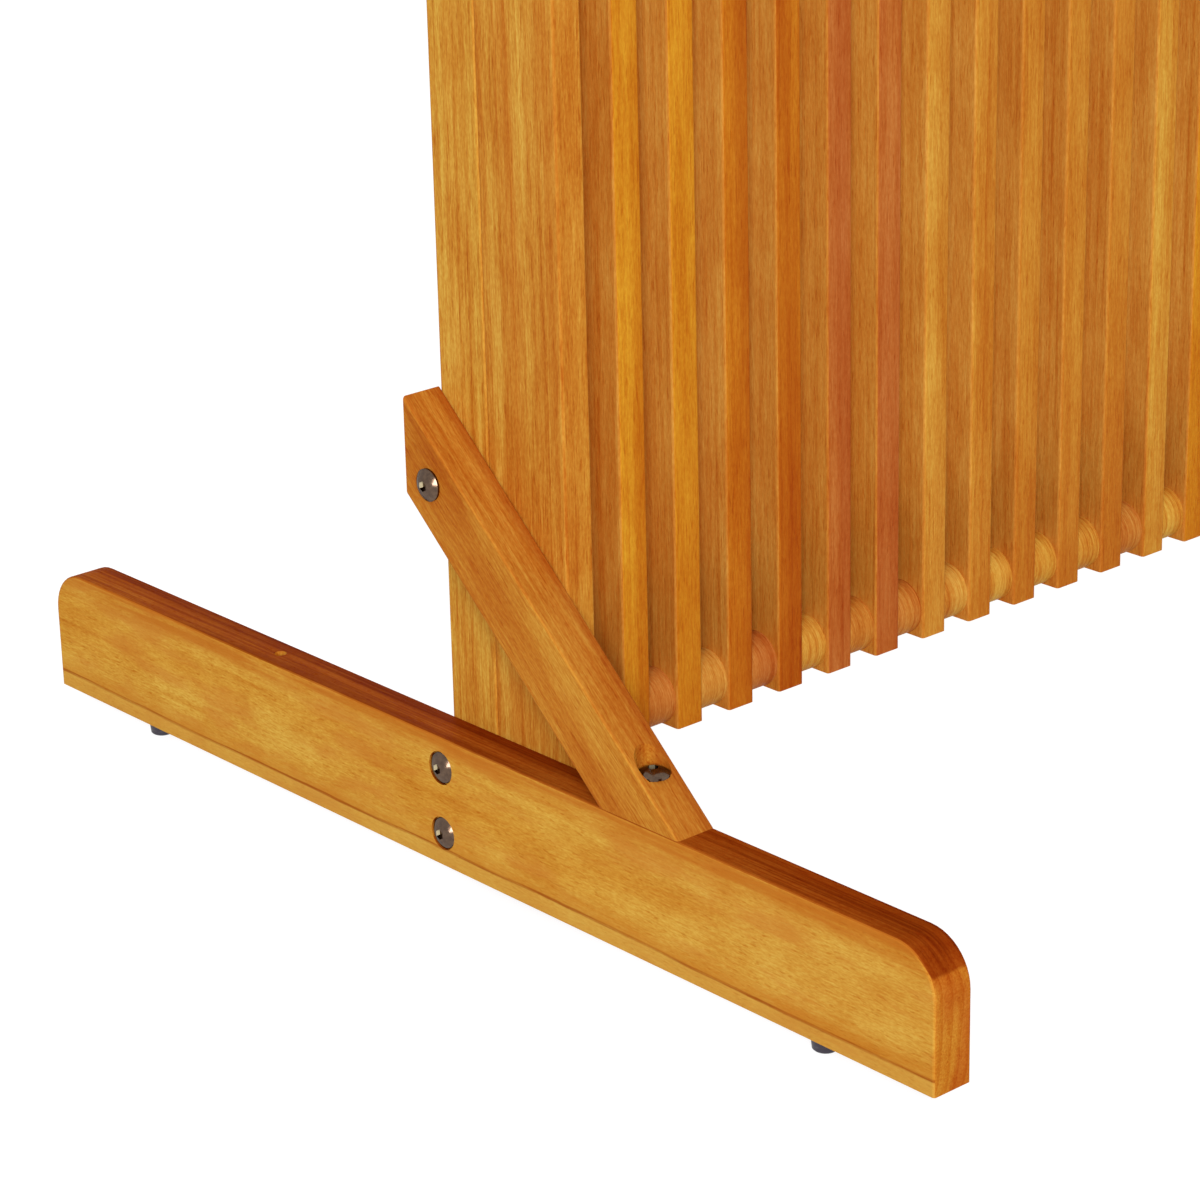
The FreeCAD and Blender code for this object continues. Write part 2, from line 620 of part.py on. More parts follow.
def make_bolts():
    """Two bolts through each foot beam, one across and one down each brace."""
    foot_bolts = []
    post_bolts = []
    upright_bolts = []
    for side in SIDES:
        seat = f"({OVERALL_HALF} - Sizes.head_recess_depth)"
        for number, height in enumerate(FOOT_BOLT_HEIGHTS, 1):
            foot_bolts.append(domed_bolt(f"{side}_foot_bolt_{number}", FOOT_BOLT_LENGTH,
                                         mirrored(side, seat), "0", height, OUTWARD[side]))
        post_bolts.append(domed_bolt(f"{side}_brace_post_bolt", BRACE_BOLT_LENGTH,
                                     mirrored(side, OVERALL_HALF), "0", BRACE_BOLT_HEIGHT,
                                     OUTWARD[side]))
        upright_bolts.append(domed_bolt(f"{side}_brace_foot_bolt", UPRIGHT_BOLT_LENGTH,
                                        mirrored(side, FOOT_MIDDLE),
                                        f"-{UPRIGHT_BOLT_FRONT}", UPRIGHT_SEAT_HEIGHT, "+z",
                                        socket_turn=30.0))
    keep("foot_bolts", group("foot_bolts", foot_bolts))
    keep("brace_post_bolts", group("brace_post_bolts", post_bolts))
    keep("brace_foot_bolts", group("brace_foot_bolts", upright_bolts))


def make_post_inserts():
    """Threaded insert nuts in the posts' outer faces, one for each sideways bolt."""
    inserts = []
    for side in SIDES:
        for number, height in enumerate(post_bolt_heights(), 1):
            inserts.append(tube(f"{side}_post_insert_{number}", "Sizes.insert_diameter",
                                BOLT_THREAD, "Sizes.insert_length",
                                mirrored(side, PANEL_HALF), "0", height, INWARD[side]))
    keep("post_insert_nuts", group("post_insert_nuts", inserts))


def make_barrel_nuts():
    """Cross nuts in the foot beams, which the upright bolts screw through."""
    nuts = []
    for side in SIDES:
        x = mirrored(side, f"({FOOT_MIDDLE} - Sizes.barrel_nut_length / 2)")
        barrel = cylinder(f"{side}_barrel", "Sizes.insert_diameter",
                          "Sizes.barrel_nut_length", x, f"-{UPRIGHT_BOLT_FRONT}",
                          BARREL_NUT_HEIGHT, OUTWARD[side])
        bore = cylinder(f"{side}_barrel_bore", BOLT_THREAD, "Sizes.insert_diameter",
                        mirrored(side, FOOT_MIDDLE), f"-{UPRIGHT_BOLT_FRONT}",
                        f"{BARREL_NUT_HEIGHT} - Sizes.insert_diameter / 2")
        nuts.append(cut(f"{side}_barrel_nut", barrel, [bore]))
    keep("barrel_nuts", group("barrel_nuts", nuts))


def make_rail_screws():
    """Countersunk screws from the posts' backs into the rail ends."""
    screws = []
    for side in SIDES:
        for number, height in enumerate(screw_heights(), 1):
            x = mirrored(side, RAIL_LAP_MIDDLE)
            name = f"{side}_rail_screw_{number}"
            shank = cylinder(f"{name}_shank", "Sizes.screw_diameter", SCREW_LENGTH,
                             x, POST_BACK, height, "-y")
            head = cone(f"{name}_head", "Sizes.screw_head_diameter", "Sizes.screw_diameter",
                        "Sizes.screw_head_height", x, POST_BACK, height, "-y")
            screws.append(fused(name, [shank, head]))
    keep("rail_screws", group("rail_screws", screws))


def make_dowels():
    """Hidden dowels across the joint between each post and its end board."""
    dowels = []
    for side in SIDES:
        for number, height in enumerate(dowel_heights(), 1):
            dowels.append(cylinder(f"{side}_dowel_{number}", "Sizes.dowel_diameter",
                                   "2 * Sizes.dowel_half_length",
                                   mirrored(side, BOARD_MIDDLE),
                                   f"{POST_FRONT} - Sizes.dowel_half_length", height, "+y"))
    keep("board_dowels", group("board_dowels", dowels))


def make_glide(side, end):
    """A levelling glide: a round pad on a threaded stem that screws into the foot."""
    corner = f"{side}_{end}"
    x = mirrored(side, FOOT_MIDDLE)
    y = f"{ENDS[end]} * {GLIDE_PLACE}"
    bevelled = "(Sizes.glide_floor_diameter - 2 * Sizes.glide_bevel)"
    base = cone(f"{corner}_pad_base", bevelled, "Sizes.glide_floor_diameter",
                "Sizes.glide_bevel", x, y, "0")
    drum = cone(f"{corner}_pad_drum", "Sizes.glide_floor_diameter",
                "Sizes.glide_top_diameter", "(Sizes.glide_height - Sizes.glide_bevel)",
                x, y, "Sizes.glide_bevel")
    socket = cylinder(f"{corner}_pad_socket", STEM_THREAD,
                      "(Sizes.glide_height - Sizes.glide_socket_height)",
                      x, y, "Sizes.glide_socket_height")
    pad_name = f"{corner}_glide_pad"
    keep(pad_name, cut(pad_name, fused(f"{corner}_pad_solid", [base, drum]), [socket]))
    stem_name = f"{corner}_glide_stem"
    keep(stem_name, cylinder(stem_name, "Sizes.stem_diameter", "Sizes.stem_length",
                             x, y, "Sizes.glide_socket_height"))


def make_glide_inserts():
    """Threaded insert nuts in the undersides of the foot beams."""
    inserts = []
    for side in SIDES:
        for end, sign in ENDS.items():
            inserts.append(tube(f"{side}_{end}_glide_insert", "Sizes.insert_diameter",
                                STEM_THREAD, "Sizes.insert_length",
                                mirrored(side, FOOT_MIDDLE),
                                f"{sign} * {GLIDE_PLACE}", FOOT_BOTTOM))
    keep("glide_insert_nuts", group("glide_insert_nuts", inserts))


# ---------------------------------------------------------------- build

for side in SIDES:
    make_foot_beam(side)
    make_brace(side)
    make_post(side)
    make_end_board(side)
for number in range(1, SLAT_COUNT + 1):
    make_slat(number)
for level in ("bottom", "middle", "top"):
    make_rail(level)
    make_spacers(level)
    make_rod(level)
make_bolts()
make_post_inserts()
make_barrel_nuts()
make_rail_screws()
make_dowels()
for side in SIDES:
    for end in ENDS:
        make_glide(side, end)
make_glide_inserts()
doc.recompute()

# ---------------------------------------------------------------- check and write

faults = [item.Name for item in doc.Objects if {"Invalid", "Error"} & set(item.State)]
for name, item in parts.items():
    if item.Shape.isNull() or not item.Shape.isValid() or not item.Shape.Solids:
        faults.append(name)
if faults:
    raise RuntimeError(f"these objects did not build: {', '.join(faults)}")

os.makedirs("parts", exist_ok=True)
for name, item in parts.items():
    item.Shape.exportStep(os.path.join("parts", f"{name}.step"))
    print(f"{name}: {len(item.Shape.Solids)} solid(s), {item.Shape.Volume / 1000:.1f} cm3")
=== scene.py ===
import math
import random

import bpy
from mathutils import Euler, Matrix, Vector


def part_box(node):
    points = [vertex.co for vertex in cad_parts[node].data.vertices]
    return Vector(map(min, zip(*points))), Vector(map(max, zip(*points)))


# The looks of a garden privacy screen in oiled hardwood: its timber, bolts and glides,
# a pale floor, soft lamps and the camera. Lengths are in metres, in the frame's own axes:
# X across the screen, -Y its front, +Z up.

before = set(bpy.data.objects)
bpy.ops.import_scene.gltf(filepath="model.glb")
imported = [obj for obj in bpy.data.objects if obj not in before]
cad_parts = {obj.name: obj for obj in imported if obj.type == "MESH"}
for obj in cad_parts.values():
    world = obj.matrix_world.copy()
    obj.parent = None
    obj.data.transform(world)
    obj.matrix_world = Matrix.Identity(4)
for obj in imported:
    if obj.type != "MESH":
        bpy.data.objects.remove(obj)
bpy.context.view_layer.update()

SIDES = ("left", "right")
LEVELS = ("bottom", "middle", "top")
SLATS = sorted(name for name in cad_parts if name.startswith("slat_"))

# ---------------------------------------------------------------- colours

# Timbers as they look in daylight, in sRGB steps of 0 to 255: the common colour, and the
# colour that it drifts to in bands. Three of them carry painted light, as marked below.
TIMBERS = {
    "straw": ((213, 161, 64), (208, 147, 52)),
    "honey": ((205, 148, 54), (199, 133, 44)),
    "amber": ((196, 128, 41), (187, 111, 31)),
    "wheat": ((202, 140, 50), (191, 115, 34)),
    "gold": ((205, 136, 30), (191, 112, 19)),
    "russet": ((190, 110, 22), (172, 85, 13)),
    "rose": ((187, 109, 45), (176, 92, 37)),
    # for the slats' sides: lightened as painted light, to make up for the shade between the slats
    "lightened_tan": ((199, 134, 51), (192, 124, 44)),
    # for the braces' sloped faces: partly the wood's own tone, partly painted shade for the little
    # light from above
    "copper": ((184, 113, 35), (175, 97, 26)),
    "ginger": ((198, 131, 41), (187, 105, 31)),
    # for the foot beams' top faces: partly the wood's own redder tone, partly painted shade for the
    # little light from above
    "sienna": ((172, 88, 22), (140, 60, 8)),
}

# the timber of each slat's front and back, from the left
SLAT_FRONTS = (
    "gold", "gold", "russet", "russet", "rose", "rose", "wheat", "amber",
    "amber", "amber", "amber", "honey", "gold", "russet", "honey", "amber",
    "gold", "rose", "amber", "honey", "amber", "russet", "honey",
)

# how dark each spacer disc of a row is, from the left: 0 is honey, 1 is rose
DISC_TONES = (
    0.40, 0.90, 0.55, 0.95, 0.25, 0.60, 0.75, 0.35, 0.15, 0.10, 0.20, 0.70,
    0.05, 0.40, 0.85, 0.30, 0.55, 0.15, 0.65, 0.10, 0.45, 0.90, 0.25, 0.50,
)


def srgb(colour, alpha=1.0):
    """An sRGB colour in steps of 0 to 255 as the linear colour that a socket takes."""
    steps = [c / 255 for c in colour]
    linear = [c / 12.92 if c <= 0.04045 else ((c + 0.055) / 1.055) ** 2.4 for c in steps]
    return (*linear, alpha)


# ---------------------------------------------------------------- node helpers


class Graph:
    """Adds nodes to a tree. A value is a number, a vector, a colour or a node's output."""

    def __init__(self, tree):
        self.tree = tree

    def feed(self, socket, value):
        if isinstance(value, bpy.types.NodeSocket):
            self.tree.links.new(value, socket)
        else:
            socket.default_value = value

    def node(self, kind, inputs=(), **settings):
        item = self.tree.nodes.new(f"ShaderNode{kind}")
        for name, value in settings.items():
            setattr(item, name, value)
        for name, value in dict(inputs).items():
            self.feed(item.inputs[name], value)
        return item

    def math(self, operation, *values):
        item = self.node("Math", operation=operation)
        for socket, value in zip(item.inputs, values):
            self.feed(socket, value)
        return item.outputs[0]

    def weighted(self, start, *pairs):
        """The sum of a start and of pairs of a value and its weight."""
        for value, weight in pairs:
            start = self.math("MULTIPLY_ADD", value, weight, start)
        return start

    def vector(self, operation, *values):
        item = self.node("VectorMath", operation=operation)
        for socket, value in zip(item.inputs, values):
            self.feed(socket, value)
        return item.outputs["Value" if operation in ("DOT_PRODUCT", "LENGTH") else "Vector"]

    def join(self, x, y, z):
        return self.node("CombineXYZ", {"X": x, "Y": y, "Z": z}).outputs[0]

    def split(self, vector):
        return self.node("SeparateXYZ", {"Vector": vector}).outputs

    def place(self):
        """Where the surface is, in the frame's axes, with the joints at rest."""
        return self.node("TexCoord").outputs["Object"]

    def normal(self):
        """Which way the surface faces, in the same axes."""
        return self.node("TexCoord").outputs["Normal"]

    def noise(self, place, size, detail=2.0, roughness=0.5, output=0):
        """Noise whose features are as large as size, a length for each axis of place."""
        scaled = self.vector("DIVIDE", place, size)
        item = self.node("TexNoise", {"Vector": scaled, "Scale": 1.0, "Detail": detail,
                                      "Roughness": roughness})
        return item.outputs[output]

    def ramp(self, value, low, high, out_low=0.0, out_high=1.0):
        """A soft step from out_low to out_high while the value goes from low to high."""
        item = self.node("MapRange", {"Value": value, "From Min": low, "From Max": high,
                                      "To Min": out_low, "To Max": out_high},
                         interpolation_type="SMOOTHSTEP")
        return item.outputs[0]

    def swing(self, noise):
        """Noise as a soft swing from -0.5 to 0.5."""
        return self.ramp(noise, 0.30, 0.70, -0.5, 0.5)

    def mix(self, factor, first, second, blend="MIX"):
        """A mix of two colours. The sockets' numbers are those of its colour inputs and output."""
        item = self.node("Mix", data_type="RGBA", blend_type=blend)
        for index, value in ((0, factor), (6, first), (7, second)):
            self.feed(item.inputs[index], value)
        return item.outputs[2]

    def scale_colour(self, share, colour, strength):
        """A colour whose red, green and blue are multiplied by strength, as far as share says."""
        return self.mix(share, colour, self.mix(1.0, colour, (*strength, 1.0), "MULTIPLY"))


def new_material(name):
    """A material with a Principled shader alone, and its graph."""
    material = bpy.data.materials.new(name)
    material.use_nodes = True
    material.node_tree.nodes.clear()
    graph = Graph(material.node_tree)
    shader = graph.node("BsdfPrincipled")
    output = graph.node("OutputMaterial")
    graph.feed(output.inputs["Surface"], shader.outputs["BSDF"])
    return material, graph, shader


def dress(material, *names):
    """Gives CAD nodes a material in place of their packed ones."""
    for name in names:
        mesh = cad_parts[name].data
        mesh.materials.clear()
        mesh.materials.append(material)


# ---------------------------------------------------------------- wood grain

# how wide a growth ring is, how far slow noise pushes it about, and how far off the pith is
RING_WIDTH = 0.0058
WARP_REACH = 0.010
PITH_DISTANCE = 0.085

# sizes of the marks, twice across the grain and then along it
BAND = Vector((0.014, 0.014, 0.60))
STREAK = Vector((0.0036, 0.0036, 0.28))
FIBRE = Vector((0.0017, 0.0017, 0.030))
HAIR = Vector((0.0010, 0.0010, 0.013))
PORE = Vector((0.0011, 0.0011, 0.012))
GRIT = Vector((0.0010, 0.0010, 0.0028))
CLOUD = Vector((0.024, 0.024, 0.075))
WARP = Vector((0.05, 0.05, 0.45))

# how much one step of tone changes red, and how fast green and blue follow it
TONE_STEP = 0.055
TONE_POWERS = (1.0, 2.6, 4.6)

# how much of oiled wood's shine is kept, and of the foot beams', which are duller
OILED_GLOSS = 0.05
FOOT_GLOSS = 0.015


def wood_group():
    """Timber whose grain runs along Z, with its pith on the Z axis.

    Grain is the place in the timber and Facing the surface's normal in the same axes.
    Length stretches the marks along the grain and Figure sets how strong they are. The
    edge input is how much the eased edges are painted pale, a painted highlight, or, below
    0, made darker. Colour is the finished colour, Rough its roughness and Height its relief.
    """
    tree = bpy.data.node_groups.new("timber_grain", "ShaderNodeTree")
    for name in ("Grain", "Facing"):
        tree.interface.new_socket(name, in_out="INPUT", socket_type="NodeSocketVector")
    for name in ("Common", "Drift"):
        tree.interface.new_socket(name, in_out="INPUT", socket_type="NodeSocketColor")
    for name in ("Length", "Figure", "Edge Highlight"):
        tree.interface.new_socket(name, in_out="INPUT", socket_type="NodeSocketFloat")
    tree.interface.new_socket("Colour", in_out="OUTPUT", socket_type="NodeSocketColor")
    for name in ("Rough", "Height"):
        tree.interface.new_socket(name, in_out="OUTPUT", socket_type="NodeSocketFloat")
    graph = Graph(tree)
    inside = tree.nodes.new("NodeGroupInput").outputs
    grain = inside["Grain"]
    place = graph.vector("MULTIPLY", grain, graph.join(
        1.0, 1.0, graph.math("DIVIDE", 1.0, inside["Length"])))

    # growth rings round the pith, pushed about by slow noise
    push = graph.vector("SUBTRACT", graph.noise(grain, WARP, 1.0, output=1), (0.5, 0.5, 0.5))
    push = graph.vector("MULTIPLY", push, (WARP_REACH, WARP_REACH, 0.0))
    across = graph.vector("MULTIPLY", graph.vector("ADD", grain, push), (1.0, 1.0, 0.0))
    radius = graph.vector("LENGTH", across)
    ring = graph.math("FRACT", graph.math("DIVIDE", radius, RING_WIDTH))
    late = graph.math("MULTIPLY", graph.ramp(ring, 0.30, 0.92), graph.ramp(ring, 1.0, 0.93))
    turned = graph.math("ARCTAN2", graph.split(across)["Y"], graph.split(across)["X"])
    layer = graph.join(radius, graph.math("MULTIPLY", turned, 0.3 * PITH_DISTANCE),
                       graph.split(place)["Z"])

    # marks along the grain, from wide to fine; the widest follow the rings
    bands = graph.ramp(graph.noise(layer, BAND, 2.0), 0.34, 0.66)
    clouds = graph.swing(graph.noise(place, CLOUD, 2.0))
    streaks = graph.ramp(graph.noise(layer, STREAK, 2.0, 0.6), 0.56, 0.72)
    fibres = graph.swing(graph.noise(place, FIBRE, 3.0, 0.62))
    hairs = graph.swing(graph.noise(place, HAIR, 1.0))
    pore_noise = graph.noise(place, PORE, 1.0, 0.4)
    pores = graph.ramp(pore_noise, 0.62, 0.73)
    flecks = graph.ramp(pore_noise, 0.38, 0.27)
    grit = graph.swing(graph.noise(grain, GRIT, 1.0))

    # where the surface is a sawn end, which drinks more oil, and where an eased edge, which gets a
    # painted highlight, or a darker tone below 0
    parts = graph.split(graph.vector("ABSOLUTE", inside["Facing"]))
    ends = graph.ramp(parts["Z"], 0.60, 0.90)
    widest = graph.math("MAXIMUM", parts["X"], graph.math("MAXIMUM", parts["Y"], parts["Z"]))
    edges = graph.math("MULTIPLY", graph.ramp(widest, 0.985, 0.80), inside["Edge Highlight"])

    # each mark's weight is how many steps lighter or darker it makes the tone
    late_steps = graph.math("MULTIPLY_ADD", ends, -1.2, -0.9)
    marks = graph.weighted(0.5, (clouds, 1.8), (streaks, -1.8), (late, late_steps),
                           (fibres, 1.5), (hairs, 1.2), (pores, -1.9), (flecks, 0.7),
                           (grit, 1.4))
    # the eased edges: a painted highlight, or darker below 0
    steps = graph.weighted(0.0, (marks, inside["Figure"]), (edges, 1.5))
    tone = graph.math("MULTIPLY_ADD", steps, TONE_STEP, 1.0)
    red, green, blue = (graph.math("POWER", tone, power) for power in TONE_POWERS)
    colour = graph.mix(bands, inside["Common"], inside["Drift"])
    colour = graph.mix(1.0, colour, graph.join(red, green, blue), "MULTIPLY")

    rough = graph.weighted(0.58, (fibres, 0.10), (pores, 0.14), (edges, -0.08))
    height = graph.weighted(0.0, (fibres, -0.35), (pores, -0.9), (late, 0.25))

    outside = tree.nodes.new("NodeGroupOutput").inputs
    for name, value in (("Colour", colour), ("Rough", rough), ("Height", height)):
        graph.feed(outside[name], value)
    return tree


GRAIN = wood_group()

# turns that bring a piece's grain upright
UPRIGHT = Euler((0.0, 0.0, 0.0))
FRONT_TO_BACK = Euler((math.radians(90), 0.0, 0.0))
ACROSS = Euler((0.0, math.radians(-90), 0.0))


def brace_turn():
    """The turn for a brace, from the slope of its long edges."""
    low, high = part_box("left_brace")
    slope = math.atan2(high.z - low.z, high.y - low.y)
    return Euler((math.radians(90) - slope, 0.0, 0.0))


def grain_place(graph, name, turn, bearing):
    """A piece's place in its timber: upright grain, with a pith of its own outside it."""
    dice = random.Random(name)
    low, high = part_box(name)
    if bearing is None:
        bearing = dice.uniform(0.0, math.tau)
    turned = Euler((0.0, 0.0, bearing)).to_matrix() @ turn.to_matrix()
    start = Vector((PITH_DISTANCE, 0.0, dice.uniform(2.0, 9.0))) - turned @ ((low + high) / 2)
    mapping = graph.node("Mapping", {"Vector": graph.place(), "Location": tuple(start),
                                     "Rotation": tuple(turned.to_euler())})
    return mapping.outputs[0]


def grain_facing(graph, turn):
    """Which way the surface faces, with the grain upright."""
    mapping = graph.node("Mapping", {"Vector": graph.normal(), "Rotation": tuple(turn)},
                         vector_type="NORMAL")
    return mapping.outputs[0]


def facing_share(graph, direction, start, full, aside=0.5):
    """How far the surface faces along a direction or against it, from start to full.

    Aside is how much facing along X takes off, so that eased edges count to a piece's side.
    """
    normal = graph.normal()
    share = graph.math("ABSOLUTE", graph.vector("DOT_PRODUCT", normal, direction))
    side = graph.math("ABSOLUTE", graph.split(normal)["X"])
    return graph.ramp(graph.math("MULTIPLY_ADD", side, -aside, share), start, full)


def finish_wood(graph, shader, grain, facing, colours, length, figure, edge_highlight,
                gloss=OILED_GLOSS, touch=None):
    """Runs the grain and joins it to the shader; touch may change the colour first."""
    item = graph.node("Group", {"Grain": grain, "Facing": facing, "Common": colours[0],
                                "Drift": colours[1], "Length": length, "Figure": figure,
                                "Edge Highlight": edge_highlight}, node_tree=GRAIN)
    colour = item.outputs["Colour"]
    if touch is not None:
        colour = touch(graph, colour)
    graph.feed(shader.inputs["Base Color"], colour)
    graph.feed(shader.inputs["Roughness"], item.outputs["Rough"])
    bump = graph.node("Bump", {"Height": item.outputs["Height"], "Strength": 0.30,
                               "Distance": 0.0004})
    graph.feed(shader.inputs["Normal"], bump.outputs[0])
    shader.inputs["IOR"].default_value = 1.45
    shader.inputs["Specular IOR Level"].default_value = gloss


# ---------------------------------------------------------------- timber pieces


def dress_bar(name, turn, timber, *faces, length=1.0, figure=1.0, edge_highlight=1.0, bearing=None,
              gloss=OILED_GLOSS, touch=None):
    """A bar of one timber; each face gives another timber and what facing_share takes.

    Length, figure and the edges' painted highlight go to the grain. Bearing is where the pith lies
    round the bar.
    """
    material, graph, shader = new_material(f"{name}_wood")
    colours = [srgb(colour) for colour in TIMBERS[timber]]
    for other, *where in faces:
        share = facing_share(graph, *where)
        colours = [graph.mix(share, first, srgb(second))
                   for first, second in zip(colours, TIMBERS[other])]
    finish_wood(graph, shader, grain_place(graph, name, turn, bearing),
                grain_facing(graph, turn), colours, length, figure, edge_highlight, gloss, touch)
    dress(material, name)


# what these multiply a timber's red, green and blue by: painted shade on the foot beams'
# inner side and front end, the braces' inner side and the slats' lower ends, dark streaks
# on the foot beams' tops, and a darkening towards each slat's right side
FOOT_INNER_SHADE = (0.85, 0.69, 0.56)
FOOT_FRONT_SHADE = (0.94, 0.86, 0.82)
FOOT_STREAK_STAIN = (0.74, 0.58, 0.48)
BRACE_INNER_SHADE = (0.82, 0.62, 0.52)
SLAT_RIGHT_DARKENING = (0.93, 0.87, 0.84)
SLAT_END_SHADE = (0.92, 0.82, 0.76)

# where a painted shade starts and where it is full: off the screen's middle, and on Y
FOOT_INNER = (0.462, 0.442)
BRACE_INNER = (0.4490, 0.4445)
FOOT_FRONT = (-0.05, -0.30)

# how far up a slat the painted shade at its lower end reaches, and where on its width the darkening
# to the right starts
SLAT_END_REACH = 0.16
SLAT_SIDE_START = 0.2

# colours on the sides of a foot beam, in sRGB steps
BLUSH = (200, 124, 46)
PALE_STRIP = (207, 154, 68)
ABOVE_LINE = (196, 122, 36)
DARK_LINE = (152, 66, 10)
TOP_BAND = (190, 109, 32)

# the dark line along a foot beam's side: how far up it is, half its width and how far it strays
FOOT_LINE_RISE = 0.0088
FOOT_LINE_HALF = 0.0013
FOOT_LINE_WAVE = 0.0024

# how far below a foot beam's top its ruddy band starts, and where it is full
FOOT_BAND_START = 0.017
FOOT_BAND_FULL = 0.005


def shade_across(graph, colour, where, strength):
    """Paints shade on a timber by how far off the screen's middle it is."""
    off = graph.math("ABSOLUTE", graph.split(graph.place())["X"])
    return graph.scale_colour(graph.ramp(off, *where), colour, strength)


def foot_marks(graph, colour):
    """Growth marks and painted shade on a foot beam.

    They are streaks on its top, painted shade towards its inner side and its front end, and
    on its sides ruddy patches, a dark line with a pale strip below it, and a ruddy band at
    their top.
    """
    place = graph.place()
    facing = graph.split(graph.vector("ABSOLUTE", graph.normal()))
    # painted shade towards the inner side, kept off the end face
    inner = shade_across(graph, colour, FOOT_INNER, FOOT_INNER_SHADE)
    colour = graph.mix(graph.ramp(facing["Y"], 0.85, 0.55), colour, inner)
    # painted shade towards the front end
    front = graph.ramp(graph.split(place)["Y"], *FOOT_FRONT)
    colour = graph.scale_colour(front, colour, FOOT_FRONT_SHADE)
    streaks = graph.ramp(graph.noise(place, (0.0022, 0.22, 1.0), 3.0, 0.6), 0.45, 0.62)
    streaks = graph.math("MULTIPLY", streaks, graph.ramp(facing["Z"], 0.5, 0.8))
    colour = graph.scale_colour(streaks, colour, FOOT_STREAK_STAIN)

    # level is the height above the dark line
    height = graph.split(place)["Z"]
    low, high = (corner.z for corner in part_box("left_foot_beam"))
    wave = graph.math("SUBTRACT", graph.noise(place, (0.1, 0.10, 0.1), 3.0), 0.5)
    wave = graph.math("MULTIPLY", wave, 2 * FOOT_LINE_WAVE)
    level = graph.math("SUBTRACT", graph.math("SUBTRACT", height, low + FOOT_LINE_RISE), wave)
    side = graph.ramp(facing["X"], 0.45, 0.60)

    def tint(colour, share, strength, tone):
        share = graph.math("MULTIPLY", graph.math("MULTIPLY", share, side), strength)
        return graph.mix(share, colour, srgb(tone))

    blush = graph.ramp(graph.noise(place, (1.0, 0.060, 0.016), 3.0, 0.6), 0.46, 0.68)
    colour = tint(colour, blush, 0.55, BLUSH)
    colour = tint(colour, graph.ramp(level, 0.0005, -0.0012), 0.50, PALE_STRIP)
    above = graph.math("MULTIPLY", graph.ramp(level, 0.014, 0.0), graph.ramp(level, -0.0005, 0.0005))
    colour = tint(colour, above, 0.60, ABOVE_LINE)
    streak = graph.ramp(graph.noise(place, (0.1, 0.05, 0.0012), 2.0), 0.40, 0.60, 0.55, 1.0)
    dark = graph.ramp(graph.math("ABSOLUTE", level), FOOT_LINE_HALF, 0.0003)
    colour = tint(colour, graph.math("MULTIPLY", dark, streak), 0.80, DARK_LINE)
    patch = graph.ramp(graph.noise(place, (0.2, 0.09, 0.004), 2.0), 0.36, 0.62, 0.35, 1.0)
    band = graph.ramp(height, high - FOOT_BAND_START, high - FOOT_BAND_FULL)
    return tint(colour, graph.math("MULTIPLY", band, patch), 0.80, TOP_BAND)


def brace_marks(graph, colour):
    """Painted shade along a brace's inner side, by the post."""
    return shade_across(graph, colour, BRACE_INNER, BRACE_INNER_SHADE)


def slat_marks(name):
    """A touch for a slat: darker towards its right side, and painted shade towards its lower end."""
    low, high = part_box(name)

    def touch(graph, colour):
        place = graph.split(graph.place())
        start = low.x + SLAT_SIDE_START * (high.x - low.x)
        # darker towards the right side
        colour = graph.scale_colour(graph.ramp(place["X"], start, high.x), colour, SLAT_RIGHT_DARKENING)
        # painted shade towards the lower end
        lower_end_shade = graph.ramp(place["Z"], low.z + SLAT_END_REACH, low.z)
        return graph.scale_colour(lower_end_shade, colour, SLAT_END_SHADE)

    return touch


ALONG_X = (1.0, 0.0, 0.0)
ALONG_Y = (0.0, 1.0, 0.0)
ALONG_Z = (0.0, 0.0, 1.0)

# which way a brace's sloped face looks
BRACE_SLOPE = (0.0, -0.67, 0.74)


def dress_timber():
    """Gives each wooden bar and the dowels their timber."""
    slope = brace_turn()
    for side in SIDES:
        # the top faces take the dark sienna, partly painted shade for the little light that falls
        # from above
        dress_bar(f"{side}_foot_beam", FRONT_TO_BACK, "straw", ("ginger", ALONG_Y, 0.50, 0.60),
                  ("sienna", ALONG_Z, 0.42, 0.50, 0.0), length=0.45, figure=0.9, edge_highlight=-0.7,
                  bearing=0.0, gloss=FOOT_GLOSS, touch=foot_marks)
        # the sloped face takes the darker copper, partly painted shade
        dress_bar(f"{side}_brace", slope, "amber", ("copper", BRACE_SLOPE, 0.4, 0.7),
                  figure=1.3, edge_highlight=-0.5, touch=brace_marks)
        dress_bar(f"{side}_post", UPRIGHT, "honey", ("amber", ALONG_Y, 0.4, 0.7), figure=1.3,
                  edge_highlight=-0.6)
        dress_bar(f"{side}_end_board", UPRIGHT, "wheat", ("amber", ALONG_Y, 0.4, 0.7),
                  figure=1.3, edge_highlight=-0.6)
    for name, front in zip(SLATS, SLAT_FRONTS):
        # the sides take the lightened tan, painted light that makes up for the shade between the
        # slats
        dress_bar(name, UPRIGHT, "lightened_tan", (front, ALONG_Y, 0.4, 0.7), length=0.8, edge_highlight=-0.3,
                  touch=slat_marks(name))
    for level in LEVELS:
        dress_bar(f"{level}_rail", ACROSS, "amber")
    dress_bar("board_dowels", FRONT_TO_BACK, "honey")


# how many discs each higher row's order of tones is shifted by
ROW_SHIFT = 7

# discs in their timber: how far apart they lie, how close their layers are, and their place
DISC_STEP = 0.3
LAYER_SPREAD = 1.6
DISC_OFF_PITH = 0.8
DISC_ALONG = 3.0


